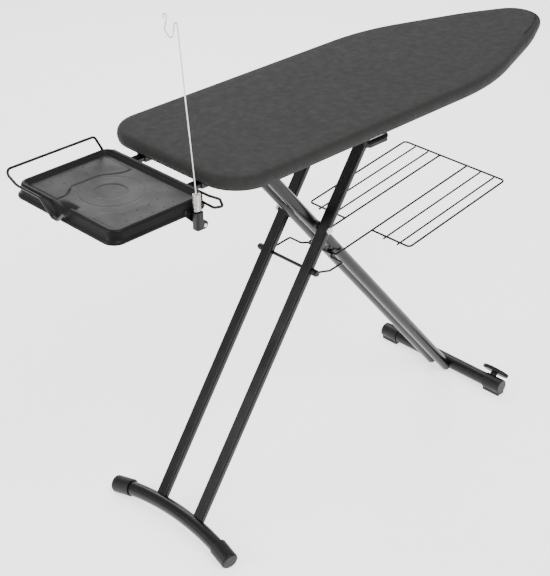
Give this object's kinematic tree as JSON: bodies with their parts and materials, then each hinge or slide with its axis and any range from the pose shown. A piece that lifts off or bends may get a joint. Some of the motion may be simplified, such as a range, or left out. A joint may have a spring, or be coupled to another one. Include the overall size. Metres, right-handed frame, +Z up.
{
  "type": "ironing board",
  "caption": "Ironing board on folding scissor legs, with a padded cover, an iron tray with a guard wire, a sprung flex holder and a wire linen rack.",
  "frame": {"origin": "on the floor, under the middle of the object's bounding box as it stands open", "axes": "+X along the board from the iron tray to the nose, +Y to the far side, +Z up; the lever and the flex holder are on the -Y side"},
  "size_m": [1.4902, 0.412, 1.3154],
  "materials": {
    "cover_fabric": "plain charcoal cotton weave with a matt coating",
    "hem_elastic": "woven elastic",
    "pad_foam": "felt and foam pad",
    "black_steel": "black powder coat, satin",
    "black_wire": "black powder coated wire",
    "deck_steel": "black coated expanded steel",
    "zinc_steel": "zinc plated",
    "bright_steel": "bright nickel plated wire",
    "nylon": "natural nylon",
    "black_plastic": "black moulded plastic",
    "tray_plastic": "dark grey moulded plastic, satin"
  },
  "bodies": {
    "board": {"cover": "cover_fabric", "pad": "pad_foam", "hem_cord": "hem_elastic", "board_rim": "black_steel", "mesh_deck": "deck_steel", "hinge_bracket": "black_steel", "hinge_pin": "zinc_steel", "hinge_washers": "nylon", "guide_rail_near": "black_steel", "guide_rail_far": "black_steel", "rear_brace": "black_steel", "front_brace": "black_steel", "lever_bearings": "nylon", "lever_spring": "zinc_steel", "bar_sleeve_near": "black_steel", "bar_sleeve_far": "black_steel"},
    "leg_b": {"leg_b_tube_near": "black_steel", "leg_b_tube_far": "black_steel", "leg_b_plugs": "black_plastic", "foot_b_tube": "black_steel", "foot_b_cap_near": "black_plastic", "foot_b_cap_far": "black_plastic", "rest_pad_near": "black_plastic", "rest_pad_far": "black_plastic", "axle": "zinc_steel", "axle_nut": "zinc_steel", "axle_spacers": "black_plastic", "rack_saddles": "black_steel"},
    "leg_a": {"leg_a_tube_near": "black_steel", "leg_a_tube_far": "black_steel", "leg_a_plugs": "black_plastic", "foot_a_tube": "black_steel", "foot_a_cap_near": "black_plastic", "foot_a_cap_far": "black_plastic", "crossbar": "black_steel", "crossbar_caps": "black_plastic", "top_rod": "zinc_steel", "rod_rollers": "nylon", "rod_clips": "zinc_steel"},
    "rack": {"rack_arms": "black_wire", "rack_frame": "black_wire", "rack_rods": "black_wire"},
    "bail": {"bail_wire": "black_wire", "bail_hubs": "black_plastic"},
    "lever": {"lever_bar": "black_steel", "lever_grip": "black_plastic", "lock_pawl": "black_steel"},
    "tray": {"tray_shell": "tray_plastic", "tray_bar_near": "black_steel", "tray_bar_far": "black_steel", "tray_screws": "zinc_steel", "guard_wire": "black_wire", "edge_wire": "black_wire", "holder_plate": "black_steel", "holder_bolt": "bright_steel", "holder_nut": "zinc_steel"},
    "holder": {"holder_body": "black_plastic", "holder_spring": "bright_steel"},
    "hook_rod": {"cord_rod": "bright_steel"}
  },
  "joints": [
    {"name": "leg_b_fold", "type": "hinge", "parent": "board", "child": "leg_b", "pos_m": [-0.26714, 0, 0.897], "axis": [0, -1, 0], "range_deg": [0, 45.6]},
    {"name": "leg_a_scissor", "type": "hinge", "parent": "leg_b", "child": "leg_a", "pos_m": [-0.0582, 0, 0.648], "axis": [0, 1, 0], "range_deg": [0, 97.5]},
    {"name": "rack_fold", "type": "hinge", "parent": "leg_b", "child": "rack", "pos_m": [0.003, 0, 0.549], "axis": [0, 1, 0], "range_deg": [0, 53.6]},
    {"name": "bail_swing", "type": "hinge", "parent": "leg_a", "child": "bail", "pos_m": [-0.11106, 0, 0.5633], "axis": [0, -1, 0], "range_deg": [0, 52.1]},
    {"name": "lever_squeeze", "type": "hinge", "parent": "board", "child": "lever", "pos_m": [0.05, -0.118, 0.904], "axis": [-1, 0, 0], "range_deg": [0, 8], "stiffness_Nm_per_rad": 0.6, "springref_deg": -8.59},
    {"name": "tray_slide", "type": "slide", "parent": "board", "child": "tray", "axis": [-1, 0, 0], "range_m": [0, 0.1]},
    {"name": "holder_fold", "type": "hinge", "parent": "tray", "child": "holder", "pos_m": [-0.511, -0.162, 0.867], "axis": [0, -1, 0], "range_deg": [0, 90]},
    {"name": "rod_sway", "type": "hinge", "parent": "holder", "child": "hook_rod", "pos_m": [-0.5245, -0.165, 0.904], "axis": [0, 1, 0], "range_deg": [-20, 20], "stiffness_Nm_per_rad": 1.2, "deforming": ["holder_spring"]}
  ],
  "couplings": [
    {"joint": "leg_a_scissor", "follows": "leg_b_fold", "ratio": 2.134},
    {"joint": "rack_fold", "follows": "leg_b_fold", "ratio": 1.1732},
    {"joint": "bail_swing", "follows": "leg_b_fold", "ratio": 1.14}
  ]
}
